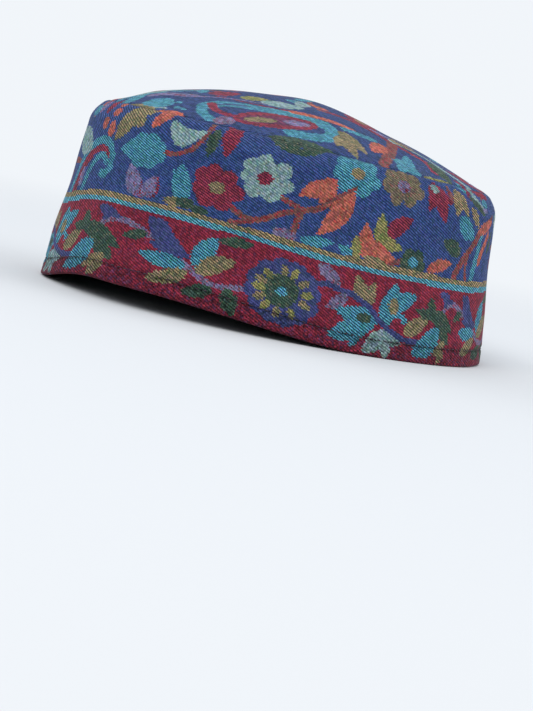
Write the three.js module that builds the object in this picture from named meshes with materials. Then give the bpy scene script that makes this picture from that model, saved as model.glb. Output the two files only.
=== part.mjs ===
import * as THREE from "three";

// A soft round cap of woven cloth: an upright side band, a low domed crown panel and a thin lining.
// Millimetres, +Z up, the front of the cap towards -Y, the wearer's left towards +X.
// The hem rests on z = 0 except over the left of the forehead, where it is lifted a little.

const hemHalfLength = 98;
const hemHalfWidth = 82.4;
const ovalPower = 2.2;

const shoulderHeight = 76.3;
const shoulderTilt = 2.2;
const bandLean = 7;
const shoulderRadiusFront = 11.5;
const shoulderRadiusBack = 13;
const seamAngle = 62;

const domeRise = 19.7;
const domePeak = 0.43;
const peakForward = 3.4;

// The lifted part of the hem, in degrees round the cap: it climbs from start to full, stays up to
// fall and is down again at end.
const archRise = 7.4;
const arch = { start: -110, full: -75, fall: -62.5, end: 4.5 };

const clothThickness = 1.8;
const hemThickness = 2.6;
const hemDepth = 7;
const liningThickness = 1;
const liningSetback = 1;
const gap = 0.3;

const roundSteps = 64;

// Soft dents and ridges in the crown panel: where each one lies, how far it spreads and how deep it is.
const crownFolds = [
  { angle: -38, reach: 0.62, spreadAngle: 26, spreadReach: 0.24, depth: 1.4 },
  { angle: 28, reach: 0.7, spreadAngle: 22, spreadReach: 0.22, depth: 1.2 },
  { angle: 62, reach: 0.4, spreadAngle: 18, spreadReach: 0.26, depth: -1 },
  { angle: 150, reach: 0.66, spreadAngle: 28, spreadReach: 0.24, depth: 1.3 },
  { angle: 232, reach: 0.6, spreadAngle: 24, spreadReach: 0.22, depth: 1.1 },
];

const radians = (degrees) => (degrees * Math.PI) / 180;
const smooth = (x) => {
  const t = Math.min(Math.max(x, 0), 1);
  return t * t * (3 - 2 * t);
};

// Distance from the axis to an oval inset evenly from the hem line, along the direction theta.
function ovalRadius(theta, inset) {
  const across = Math.abs(Math.cos(theta)) / (hemHalfWidth - inset);
  const along = Math.abs(Math.sin(theta)) / (hemHalfLength - inset);
  return (across ** ovalPower + along ** ovalPower) ** (-1 / ovalPower);
}

function angleBetween(a, b) {
  const d = a - b;
  return Math.abs(Math.atan2(Math.sin(d), Math.cos(d)));
}

// How far the hem is lifted at theta.
function hemArch(theta) {
  const turn = (Math.atan2(Math.sin(theta), Math.cos(theta)) * 180) / Math.PI;
  const climb = smooth((turn - arch.start) / (arch.full - arch.start));
  const fall = smooth((arch.end - turn) / (arch.end - arch.fall));
  return archRise * climb * fall;
}

// The shoulder is a little higher at the front than at the back.
function shoulderTop(theta) {
  return shoulderHeight - shoulderTilt * Math.sin(theta);
}

function shoulderRadius(theta) {
  const middle = (shoulderRadiusFront + shoulderRadiusBack) / 2;
  return middle + ((shoulderRadiusBack - shoulderRadiusFront) / 2) * Math.sin(theta);
}

function foldDepth(theta, reach) {
  return crownFolds.reduce((sum, fold) => {
    const turn = angleBetween(theta, radians(fold.angle)) / radians(fold.spreadAngle);
    const out = (reach - fold.reach) / fold.spreadReach;
    return sum + fold.depth * Math.exp(-(turn * turn + out * out));
  }, 0) * smooth((1 - reach) / 0.25) * smooth(reach / 0.15);
}

// A point on the band, level 0 at the hem and 1 where the shoulder starts, depth into the cloth.
function bandPoint(theta, level, depth) {
  const radius = ovalRadius(theta, bandLean * level + depth);
  const z = (shoulderTop(theta) - shoulderRadius(theta)) * level + hemArch(theta) * (1 - level * level);
  return [radius * Math.cos(theta), radius * Math.sin(theta), z];
}

// A point on the rounded shoulder, turned by the angle phi from upright towards the crown.
function shoulderPoint(theta, phi, depth) {
  const round = shoulderRadius(theta);
  const inset = bandLean + round - (round - depth) * Math.cos(phi);
  const radius = ovalRadius(theta, inset);
  const z = shoulderTop(theta) - round + (round - depth) * Math.sin(phi);
  return [radius * Math.cos(theta), radius * Math.sin(theta), z];
}

// A point on the crown, reach 1 at the seam and 0 at the middle.
function crownPoint(theta, reach, depth) {
  const turn = radians(seamAngle);
  const [x, y, rim] = shoulderPoint(theta, turn, depth);
  const centre = shoulderHeight - depth;
  const peak = domePeak * (Math.sqrt(1.01) - Math.sqrt(reach * reach + 0.01));
  const bowl = (1 - domePeak) * (1 - reach ** 2.2);
  const forward = -peakForward * Math.sin(theta) * reach * (1 - reach * reach);
  const z = centre + (rim - centre) * reach * reach + domeRise * (peak + bowl) + forward;
  return [x * reach, y * reach, z - foldDepth(theta, reach)];
}

// A closed body of rings round the axis, each station a function of theta. A tip closes the body on
// the axis, and a closed loop joins the last ring to the first again.
function ringBody(stations, closedLoop) {
  const positions = [];
  const rings = stations.map((station) => {
    const first = positions.length / 3;
    const count = station.single ? 1 : roundSteps;
    for (let i = 0; i < count; i += 1) {
      positions.push(...station.at((i / roundSteps) * 2 * Math.PI));
    }
    return { first, count };
  });
  const index = [];
  const join = (a, b) => {
    for (let i = 0; i < roundSteps; i += 1) {
      const next = (i + 1) % roundSteps;
      if (a.count === 1) {
        index.push(a.first, b.first + next, b.first + i);
      } else if (b.count === 1) {
        index.push(a.first + i, a.first + next, b.first);
      } else {
        index.push(a.first + i, a.first + next, b.first + next);
        index.push(a.first + i, b.first + next, b.first + i);
      }
    }
  };
  for (let k = 0; k + 1 < rings.length; k += 1) join(rings[k], rings[k + 1]);
  if (closedLoop) join(rings[rings.length - 1], rings[0]);
  const geometry = new THREE.BufferGeometry();
  geometry.setAttribute("position", new THREE.Float32BufferAttribute(positions, 3));
  geometry.setIndex(index);
  geometry.computeVertexNormals();
  return geometry;
}

const ring = (at) => ({ at, single: false });
const tip = (at) => ({ at, single: true });
const steps = (from, to, count) =>
  Array.from({ length: count }, (_, i) => from + ((to - from) * i) / (count - 1));

function cloth(name, geometry, color, roughness) {
  const mesh = new THREE.Mesh(
    geometry,
    new THREE.MeshStandardMaterial({ color, roughness, metalness: 0 }),
  );
  mesh.name = name;
  return mesh;
}

// Level on the band at a height above the hem.
const levelAt = (theta, height) => height / (shoulderTop(theta) - shoulderRadius(theta));

// The side band, doubled over its turned hem, from the hem up over the shoulder to the crown seam.
function makeSideBand() {
  const seam = radians(seamAngle);
  const outer = [
    ...steps(0, 1, 7).map((level) => ring((t) => bandPoint(t, level, 0))),
    ...steps(seam / 4, seam, 4).map((phi) => ring((t) => shoulderPoint(t, phi, 0))),
  ];
  const inner = [
    ...steps(seam, seam / 4, 4).map((phi) => ring((t) => shoulderPoint(t, phi, clothThickness))),
    ...steps(1, 0.3, 5).map((level) => ring((t) => bandPoint(t, level, clothThickness))),
    ring((t) => bandPoint(t, levelAt(t, hemDepth + 2), clothThickness)),
    ring((t) => bandPoint(t, levelAt(t, hemDepth), hemThickness)),
    ring((t) => bandPoint(t, 0, hemThickness)),
  ];
  return ringBody([...outer, ...inner], true);
}

// The crown panel, butted to the band along the seam with a hair's breadth between them.
function makeCrownPanel() {
  const edge = 1 - (gap * 1.3) / ovalRadius(0, bandLean);
  const reaches = [edge, 0.93, 0.84, 0.72, 0.58, 0.43, 0.28, 0.14];
  const top = reaches.map((reach) => ring((t) => crownPoint(t, reach, 0)));
  const bottom = [...reaches].reverse().map((reach) => ring((t) => crownPoint(t, reach, clothThickness)));
  return ringBody(
    [
      tip(() => crownPoint(0, 0, clothThickness)),
      ...bottom,
      ...top,
      tip(() => crownPoint(0, 0, 0)),
    ],
    false,
  );
}

// The lining follows the inside of the band and the crown, a little short of the hem edge.
function makeLining() {
  const face = clothThickness + gap;
  const hemFace = hemThickness + gap;
  const back = face + liningThickness;
  const hemBack = hemFace + liningThickness;
  const seam = radians(seamAngle);
  const reaches = [0.86, 0.72, 0.58, 0.43, 0.28, 0.14];
  const wall = (depth, hem) => [
    ring((t) => bandPoint(t, levelAt(t, liningSetback), hem)),
    ring((t) => bandPoint(t, levelAt(t, hemDepth + 0.4), hem)),
    ring((t) => bandPoint(t, levelAt(t, hemDepth + 3), depth)),
    ...steps(0.3, 1, 4).map((level) => ring((t) => bandPoint(t, level, depth))),
    ...steps(seam / 3, seam, 3).map((phi) => ring((t) => shoulderPoint(t, phi, depth))),
    ...reaches.map((reach) => ring((t) => crownPoint(t, reach, depth))),
  ];
  return ringBody(
    [
      tip(() => crownPoint(0, 0, back)),
      ...wall(back, hemBack).reverse(),
      ...wall(face, hemFace),
      tip(() => crownPoint(0, 0, face)),
    ],
    false,
  );
}

const cap = new THREE.Group();
cap.add(
  cloth("side_band", makeSideBand(), 0x6e2440, 0.9),
  cloth("crown_panel", makeCrownPanel(), 0x2f3f7a, 0.9),
  cloth("lining", makeLining(), 0x1c3430, 0.85),
);

export default cap;
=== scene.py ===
import math

import bmesh
import bpy
import numpy as np
from mathutils import Matrix, Vector


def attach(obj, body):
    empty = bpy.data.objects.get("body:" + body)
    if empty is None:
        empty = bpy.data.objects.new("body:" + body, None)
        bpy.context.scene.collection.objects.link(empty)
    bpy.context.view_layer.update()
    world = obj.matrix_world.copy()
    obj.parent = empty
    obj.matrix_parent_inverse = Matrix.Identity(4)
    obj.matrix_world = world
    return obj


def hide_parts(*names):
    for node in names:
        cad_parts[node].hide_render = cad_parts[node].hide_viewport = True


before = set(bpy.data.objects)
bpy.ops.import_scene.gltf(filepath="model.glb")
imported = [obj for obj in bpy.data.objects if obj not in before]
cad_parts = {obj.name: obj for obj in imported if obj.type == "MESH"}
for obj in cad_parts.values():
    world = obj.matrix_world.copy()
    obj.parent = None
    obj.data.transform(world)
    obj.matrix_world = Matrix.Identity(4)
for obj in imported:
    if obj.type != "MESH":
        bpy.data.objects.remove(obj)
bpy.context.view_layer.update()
mm = 0.001
rng = np.random.default_rng(seed=11)

# The cap's form in millimetres, as in the CAD: +Z up, front towards -Y, wearer's left towards +X.
form = {
    "halfLength": 98.0,
    "halfWidth": 82.4,
    "power": 2.2,  # of the hem's oval: 2 is an ellipse, and more is squarer
    "shoulder": 76.3,
    "tilt": 2.2,  # how much higher the shoulder is at the front than at the sides
    "lean": 7.0,  # of the wall, inwards over its height
    "roundFront": 11.5,  # radius of the shoulder
    "roundBack": 13.0,
    "seamTurn": 62.0,  # degrees round the shoulder to the crown seam
    "seamTurnFront": 5.0,
    "rise": 19.7,  # of the crown over the shoulder
    "bowlPower": 2.2,
    "peak": 0.43,  # share of the rise that is a soft peak, the rest being a bowl
    "peakSoft": 0.01,
    "forward": 3.4,
    "arch": 7.4,  # lift of the hem
    "archAt": (-110.0, -75.0, -62.5, 4.5),  # degrees round the cap
}

# Camera fitted to the photo: angles in degrees, distance and target in mm, focal length and
# target pixel in photo pixels.
cameraFit = {
    "azimuth": 60.0,
    "elevation": 2.2,
    "roll": 12.3,
    "distance": 900.0,
    "focal": 2088.8,
    "target": (0.0, 0.0, 45.0),
    "targetPixel": (284.4, 216.1),
    "width": 533,
    "height": 711,
    "sensor": 36.0,
    "clip": (0.02, 50.0),  # metres
}


# Eases from 0 to 1 as x does: t^2 (3 - 2t).
def smooth(x):
    t = np.clip(x, 0, 1)
    return t * t * (3 - 2 * t)


# A bell round zero: exp(-(x / wide)^2).
def bell(x, wide):
    return np.exp(-((x / wide) ** 2))


# The angle between two directions, from 0 to pi.
def angleOff(theta, centre):
    return np.abs(np.angle(np.exp(1j * (theta - centre))))


# Distance from the axis to the hem oval inset evenly: (|cos/b|^n + |sin/a|^n)^(-1/n).
def ovalRadius(theta, inset):
    across = np.abs(np.cos(theta)) / (form["halfWidth"] - inset)
    along = np.abs(np.sin(theta)) / (form["halfLength"] - inset)
    return (across ** form["power"] + along ** form["power"]) ** (-1 / form["power"])


# The hem is lifted over the left of the forehead: it climbs from start to full, stays up, and
# comes down from fall to end.
def hemArch(theta):
    start, full, fall, end = form["archAt"]
    turn = np.degrees(np.angle(np.exp(1j * theta)))
    climb = smooth((turn - start) / (full - start))
    return form["arch"] * climb * smooth((end - turn) / (end - fall))


# Height of the shoulder: a little higher at the front.
def shoulderTop(theta):
    return form["shoulder"] - form["tilt"] * np.sin(theta)


# Radius of the shoulder: the middle of front and back, plus half their difference times sine.
def shoulderRound(theta):
    middle = (form["roundFront"] + form["roundBack"]) / 2
    return middle + (form["roundBack"] - form["roundFront"]) / 2 * np.sin(theta)


# The angle round the shoulder where the crown is sewn on: a little further over at the front.
def seamTurn(theta):
    return np.radians(form["seamTurn"] - form["seamTurnFront"] * np.sin(theta))


# Arc length along the hem, zero at the front and growing towards the wearer's left.
hemSteps = 7200
hemTheta = np.linspace(-1.5 * np.pi, 0.5 * np.pi, hemSteps + 1)
hemRing = ovalRadius(hemTheta, 0)[:, None] * np.c_[np.cos(hemTheta), np.sin(hemTheta)]
hemArc = np.r_[0, np.cumsum(np.hypot(*np.diff(hemRing, axis=0).T))]
hemLength = hemArc[-1]
hemArc = hemArc - np.interp(-np.pi / 2, hemTheta, hemArc)


# Height of the straight wall, from the floor to where the shoulder starts.
def wallHeight(theta):
    return shoulderTop(theta) - shoulderRound(theta)


# A point of the band at u along the hem and v up the cloth, depth mm inside the outer face:
# straight up the wall to its height, then round the shoulder.
def bandPoint(u, v, depth):
    theta = np.interp(u, hemArc, hemTheta)
    u, v, depth, theta = np.broadcast_arrays(u, v, depth, theta)
    wall, bend = wallHeight(theta), shoulderRound(theta)
    level = np.minimum(v / wall, 1)
    phi = np.clip((v - wall) / bend, 0, None)
    inset = form["lean"] * level + bend - (bend - depth) * np.cos(phi)
    radius = ovalRadius(theta, inset)
    z = wall * level + hemArch(theta) * (1 - level * level) + (bend - depth) * np.sin(phi)
    return np.stack([radius * np.cos(theta), radius * np.sin(theta), z], -1)


# Length up the cloth at which the band meets the crown seam: the wall and the arc over it.
def seamHeight(u):
    theta = np.interp(u, hemArc, hemTheta)
    return wallHeight(theta) + shoulderRound(theta) * seamTurn(theta)


# A point of the crown: reach is 1 at the seam and 0 at the middle. The height is a low bowl
# 1 - reach^n with a soft peak sqrt(1 + s) - sqrt(reach^2 + s), leaning to the front.
def crownPoint(theta, reach, depth):
    bend, turn = shoulderRound(theta), seamTurn(theta)
    inset = form["lean"] + bend - (bend - depth) * np.cos(turn)
    radius = ovalRadius(theta, inset) * reach
    rim = wallHeight(theta) + (bend - depth) * np.sin(turn)
    centre = form["shoulder"] - depth
    soft = form["peakSoft"]
    peak = form["peak"] * (math.sqrt(1 + soft) - np.sqrt(reach**2 + soft))
    bowl = (1 - form["peak"]) * (1 - reach ** form["bowlPower"])
    lean = -form["forward"] * np.sin(theta) * reach * (1 - reach**2)
    z = centre + (rim - centre) * reach**2 + form["rise"] * (peak + bowl) + lean
    z = z - foldDepth(theta, reach)
    return np.stack([radius * np.cos(theta), radius * np.sin(theta), z], -1)


# Soft dents in the crown: angle, reach, spread in angle, spread in reach, depth in mm.
crownFolds = (
    (-38, 0.62, 26, 0.24, 1.4),
    (28, 0.70, 22, 0.22, 1.2),
    (62, 0.44, 30, 0.22, 0.3),
    (150, 0.66, 28, 0.24, 1.3),
    (232, 0.54, 20, 0.20, 1.1),
    (-122, 0.82, 40, 0.20, -1.6),
)
foldFade = {"rim": 0.25, "middle": 0.15}  # shares of the reach over which the dents die out


# The sum of the dents, each a bell exp(-turn^2 - out^2) of its angle and reach.
def foldDepth(theta, reach):
    total = 0
    for angle, at, spread, spreadReach, depth in crownFolds:
        turn = angleOff(theta, np.radians(angle)) / np.radians(spread)
        out = (reach - at) / spreadReach
        total = total + depth * np.exp(-(turn**2) - out**2)
    return total * smooth((1 - reach) / foldFade["rim"]) * smooth(reach / foldFade["middle"])


waveSpread = (0.7, 1.5)  # shortest and longest wave, as shares of the size


# Smooth noise on a plane, about -1 to 1: a few waves sin(k (x cos a + y sin a) + phase) of
# random direction and phase.
def waves(x, y, size, seed, count):
    draw = np.random.default_rng(seed)
    total = 0
    for _ in range(count):
        angle, phase = draw.uniform(0, np.pi), draw.uniform(0, 2 * np.pi)
        k = 2 * np.pi / (size * draw.uniform(*waveSpread))
        total = total + np.sin(k * (x * np.cos(angle) + y * np.sin(angle)) + phase)
    return total / math.sqrt(count)


# Waves of a look's own depth, size and seed, with the second direction squeezed by its flat.
def ripple(look, x, y):
    flat, count = look.get("flat", 1), look.get("count", 7)
    return look["deep"] * waves(x, y * flat, look["size"], look["seed"], count)


# Yarn colours, sRGB 0-255, and how deep the dark gaps between its floats show, 0-1.
yarns = {
    "blue": (60, 84, 138, 0.84),
    "wine": (138, 46, 65, 0.74),
    "crimson": (147, 57, 78, 0.9),
    "red": (160, 36, 52, 0.7),
    "teal": (86, 160, 182, 1.0),
    "mint": (134, 163, 164, 0.7),
    "olive": (150, 137, 104, 0.9),
    "tan": (119, 108, 89, 0.72),
    "lime": (146, 144, 92, 0.82),
    "orange": (176, 99, 85, 0.6),
    "rust": (117, 79, 77, 0.58),
    "dark": (66, 90, 78, 0.84),
    "navy": (68, 76, 124, 0.7),
    "lavender": (118, 111, 141, 0.68),
    "mauve": (118, 115, 152, 0.62),
    "plum": (102, 52, 82, 0.6),
    "gold": (168, 148, 112, 1.0),
    "cyan": (98, 172, 192, 1.0),
}
yarnNames = list(yarns)

# Specks of another yarn among a yarn's own: which one, on what share of it and how strongly.
flecks = {
    "blue": ("navy", 0.12, 0.6),
    "wine": ("plum", 0.12, 0.6),
    "crimson": ("plum", 0.08, 0.5),
    "mint": ("lime", 0.06, 0.4),
    "olive": ("dark", 0.12, 0.5),
    "tan": ("crimson", 0.08, 0.4),
    "orange": ("red", 0.12, 0.6),
    "rust": ("red", 0.35, 0.6),
    "dark": ("olive", 0.12, 0.3),
    "lavender": ("crimson", 0.18, 0.7),
    "mauve": ("crimson", 0.14, 0.7),
    "gold": ("dark", 0.16, 0.6),
}


# Reads a chart: a yarn's name starts a row, and the numbers after it belong to that row.
def chart(text):
    rows = []
    for word in text.split():
        if word in yarns:
            rows.append((word, []))
        else:
            rows[-1][1].append(float(word))
    return rows


# Each chart is laid out in cloth millimetres: along the hem and up from it.
# leaves: colour, base, tip, width, bend.   blooms: colour, centre, half sizes, petals, notch.
# vines and veins: colour, width, points along the line.   Petals 0 makes a plain oval.
border = {
    "repeat": 169.0,
    "vines": chart("""
lavender 2.6  19 20.3  22 23.6  27 26  33 26.6  40 25.3  48 22.6
lavender 2.4  63 16.2  68 13.6  73 11.2  80 10.4  86 11.6  91 13
"""),
    "leaves": chart("""
olive    -5 11.8     8.3 18.3   7.4 0
dark     11 20       0 22       4.4 0
dark     11 20       8.8 28     6.4 0
dark     8.5 20.8    34.8 14.6  7.6 1.2
dark     15 18.5     32.6 9.3   8   0
teal     19.4 14.8   1.2 3      11  0.6
olive    27.3 10.6   19.8 0.6   6.4 0
olive    25.8 9.8    15.5 3.8   4.8 0
navy     16.8 30.2   31.8 27.2  4.6 0
navy     25 29       20.6 25    4.6 0
dark     46 23.2     34 20.3    4.4 0
navy     45.2 31     67 17.8    8   -2
navy     49 31.2     58 24      4   0
navy     64 18.4     47.5 20.4  4.6 0
teal     65.8 14.6   43.8 15.3  6.2 0.4
olive    67 12.2     49.6 5.8   6.4 0.7
teal     68.6 15.2   76.2 29.4  9   0.7
olive    69.6 13.6   85.3 22    7.4 0.6
dark     90.3 30.6   75.5 28.8  4.4 0
dark     78.2 8.6    65.8 4.3   5.6 0.4
dark     83.4 10.4   88 0.8     7.4 0
lavender 118.8 31    130.2 24.6 5.8 0.6
lavender 134 22.3    125 15.2   5.4 0.5
olive    145.4 20.6  136.8 31   7.6 1.5
olive    145.8 20.4  146 30     4.6 0.8
teal     150.5 14.4  129.3 15.6 7.6 0
teal     149 13.4    127.8 5    9.5 0
teal     146 12      138.2 2.8  5.6 0
teal     148.5 16.2  132 15.4   6.6 0
mint     155 9.4     144.6 1.8  7.5 0
mint     154 8.6     157.4 0    5.6 0
mint     152 9.4     163.6 6.8  6.6 0
teal     153.6 13.8  157.4 31   9.5 0
teal     153 19      169.3 27.6 8   0.5
teal     153 18      166 16.2   5.6 0
"""),
    "blooms": chart("""
navy  106.2 16.1    16.5 13.4  12 0.1
dark  105 16.4      7.8 6.5    0 0
teal  105.5 16.2    2.5 1.9    0 0
mint  153.6 9       5.6 3.2    0 0
teal  155.2 20      5.2 6.2    0 0
olive 157 21.6      2.6 3.4    0 0
dark  143.4 14.8    3.8 2      0 0
wine  159.8 14.4    3 3        0 0
"""),
    "veins": chart("""
wine 1.3  153 12.4  150 11.2  147.5 10  145 6.8  142.4 4.4
navy 2.4  119.5 23.2  124 24.4  129.5 23.6  135 23.2  139.5 21.6  145.5 19.2  149.5 16  153 13.6
          158 11.2  164 9.2  170 8.4  175 8.8
"""),
}

# The border's rosette: its rays, in degrees round its centre, run from one share of its half
# sizes to another, in two yarns by turns.
rosette = {
    "centre": (106.1, 16.2),
    "half": (16.5, 13.4),
    "rays": (163, 138, 96, 71, 38, 9, -19, -61, -96, -127, -151, -176),
    "from": 0.46,
    "to": 0.82,
    "wide": 3.2,
    "yarns": ("olive", "lime"),
}

field = {
    "repeat": 262.0,
    "vines": chart("""
rust 2.6  75.5 45.5  80 42.8  85.5 40.8  90 41.8  95 44.6  100 47.6  107 50.4  113 52.4  118 55.4
rust 2.3  95.5 54.4  101 52.4  107 50.8
rust 3.0  107 50  105.6 45  104.4 38
rust 2.2  88 41  82 38.5  78 37.5
rust 2.3  44 61  48 61.4  52 63.2  56 66.6  59 71  60 76  59 81
rust 2.2  -30 51  -22 51.2  -15 50
rust 2.2  150 37.4  154 38.6  158.5 40.4
rust 3.4  190 35  194 41  199 46.6  205 52  212 57.4
rust 1.8  200.6 37  200 42  201.6 48
teal 3.4  205 37  207.8 44  210.6 51  213.2 58
orange 3  211.5 45.2  216 50.8  222 56.4
rust 2.2  206 54  210 57.6  217 60.6  226 63.4
orange 3  -18.8 71  -18.8 75.6  -18.8 78.4  -18.4 81
mint 3.2  203 76.6  204.5 74  205.4 71.2  208 68.8  211 66.8
teal 1.8  192 75.6  195.6 73.8  199.4 72.4
mauve 1.6  205 68  210 66.6  217 65.6
crimson 5.2  -13 35  -12.6 42  -10 48.5  -5 53.2
crimson 3.4  -5 53.6  1 56.4  6.5 56.4  10.4 53.4
teal 4.0  -18.6 36  -18 43  -15 50  -9.5 55.6  -2.5 59.4  4 60.8  10 58.6  13.8 53.6  14 48.4
          11.6 44.8  9 45.4
teal 3.4  -4.4 35  -3.8 42  -1.4 48  2.4 52.4  6.6 53.6  10.4 51
"""),
    "leaves": chart("""
mint     -7 56      -31 64     11  0
teal     -15 71.4    -25 75     6   0
mauve    -12 72      -16.6 80.6 5   0
crimson  -4 72.4     -8.6 82    5.2 0
olive    20 82      11.5 61.3  10.5 1.2
olive    14 77      27.8 70.4  9   0.6
olive    17 76      29 80      7   0
orange   36.8 85    33 70.4    8.4 0
teal     31 60      18.4 58.4  7.5 0
dark     63.6 77    62.6 63.8  5.2 0
crimson  70 83      70.6 65.6  8   0
mauve    36.6 38.6  27.2 52.4  8.6 0.9
mauve    37 38.8    42.8 49    7.6 -1
teal     57.6 40    52.6 58    8.6 0.5
teal     54 44      49.6 55    3   0
mint     41 75.8    59.8 75    8.6 -5.6
dark     84 85      101.6 73   9.5 0
dark     114 86     101.2 73   9.5 0
orange   121.5 60.4 103.6 56   8   -2.6
orange   112 59.4   120.6 65.6 8   0
orange   128.6 64   115.4 42.6 9.6 1.7
crimson  147.4 48.4 161.2 57.2 7.4 0.5
lime     146 43.5   144 57.2   6.6 0
lime     142.5 46.6 157.8 44.4 5.6 0
orange   138 44.5   154 40.2   8.4 -1.6
orange   139 38     137.4 52   7.4 0
lime     135 36.2   133.8 46.6 5   0
orange   173.4 38.6 190 43.2   5.2 0.6
dark     195.4 47.6 181.4 51.6 6.6 0
crimson  174.6 74   169.4 61.8 7.4 0
crimson  173 73.6   181.2 58.4 8   0
crimson  172 72     184.2 66.2 5.6 0
gold     189 73     188.6 61.8 7   0
gold     190.4 72.4 197.4 62.4 5.6 0
rust     182.6 74   184.8 66.4 3   0
teal     190.4 61   204.6 54.2 8   0
gold     199.6 66   208.4 58.4 4.4 0.5
crimson  199.6 76   201 68.6   3.4 0
navy     197.4 71   197.4 64.6 3   0
dark     199.6 71   214.6 63.6 3.6 0
wine     205 77     224 71.6   6.4 0
rust     212.6 72.4 216 70.4   2   0
orange   207.4 57.2 228 61.8   5   0
dark     222 48.6   230 58     4   0
crimson  231 42     234.6 47.6 3   0
teal     108.8 38.6 124 40.8   4.6 0
teal     133.4 38   125.6 40.6 4   0
orange   140 86     144 77     6   0
orange   113 56.6   122 59.4   7   0
olive    150 37.6   138 38.6   2.6 0
"""),
    "blooms": chart("""
teal     33.2 60     11.4 9     8 0.17
crimson  70 50.6     7.2 6.2    0 0
crimson  67.2 57.2   3.9 4.2    0 0
crimson  73.8 56     3.9 3.7    0 0
crimson  63.2 54.8   3.9 4      0 0
crimson  77.4 50.2   4.5 3.7    0 0
crimson  63.8 49     4.2 3.8    0 0
crimson  66.6 44.8   4 3.7      0 0
crimson  73.6 44.8   4.2 3.7    0 0
olive    70 50.6     3.4 2.9    0 0
mint     89.2 60.4   7.6 6.4    0 0
mint     87.3 65.6   4.3 4.7    0 0
mint     82.6 64.4   4 3.5      0 0
mint     82.7 59.6   4.3 3.2    0 0
mint     84.8 54.8   3.9 4.2    0 0
mint     92.2 54.4   4.6 3.9    0 0
mint     97.4 58.8   4.4 3.1    0 0
mint     95.4 64.8   4.3 3.7    0 0
crimson  88.6 60     3.3 2.9    0 0
teal     129.4 70.4  8 5.8      0 0
teal     123 74.6    4.2 3.9    0 0
teal     129.4 76    4.2 4      0 0
teal     135.6 74.6  4.2 3.9    0 0
teal     136.8 68.2  4.5 3.3    0 0
teal     121.6 69.8  4.6 3.6    0 0
teal     124.8 65.6  4.5 3.8    0 0
teal     132.6 65.2  4.6 4.1    0 0
olive    129.4 70.6  3.7 2.5    0 0
tan      154 69.2    7.2 5.2    0 0
tan      148.4 73    4.2 3.6    0 0
tan      154.6 73.8  4.2 3.2    0 0
tan      160.6 72.8  4 3.4      0 0
tan      146.4 68.6  4.4 3.1    0 0
tan      161.6 67.6  4.3 2.9    0 0
tan      150.4 64.8  3.6 3.9    0 0
tan      157.6 64.6  3.6 3.6    0 0
lavender 154 69.2    3.7 2.5    0 0
crimson  155.2 67.8  1 0.8      0 0
dark     164.4 40.4  7.6 5.6    5 0.26
teal     164.2 40.4  3 2.1      0 0
orange   -0.6 68.4   2.8 2.7    0 0
orange   6.6 66.2    2.8 3.8    0 0
orange   4.4 74.2    2.8 2.3    0 0
orange   2.6 78.8    2 1.8      0 0
teal     216 69      3.6 1.9    0 0
mint     173.4 71.2  2.6 1.9    0 0
olive    53.4 39.6   4.4 2.2    0 0
dark     58.6 40.4   4.2 2.4    0 0
dark     65 38.8     4 1.8      0 0
lavender 101.5 39    5.4 2.2    0 0
dark     99 84       10 7       0 0
mauve    -9 43.6     2.4 4.4    0 0
mauve    37 40.2     7.6 1.9    0 0
"""),
    "veins": chart("""
rust 1.6  112.4 52  117 56  122.4 60  129.4 64.6
crimson 0.9  43.6 39  45 43  43.4 48.6
crimson 0.6  36.8 39  36.6 42.6  35.4 46
"""),
}

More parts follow.
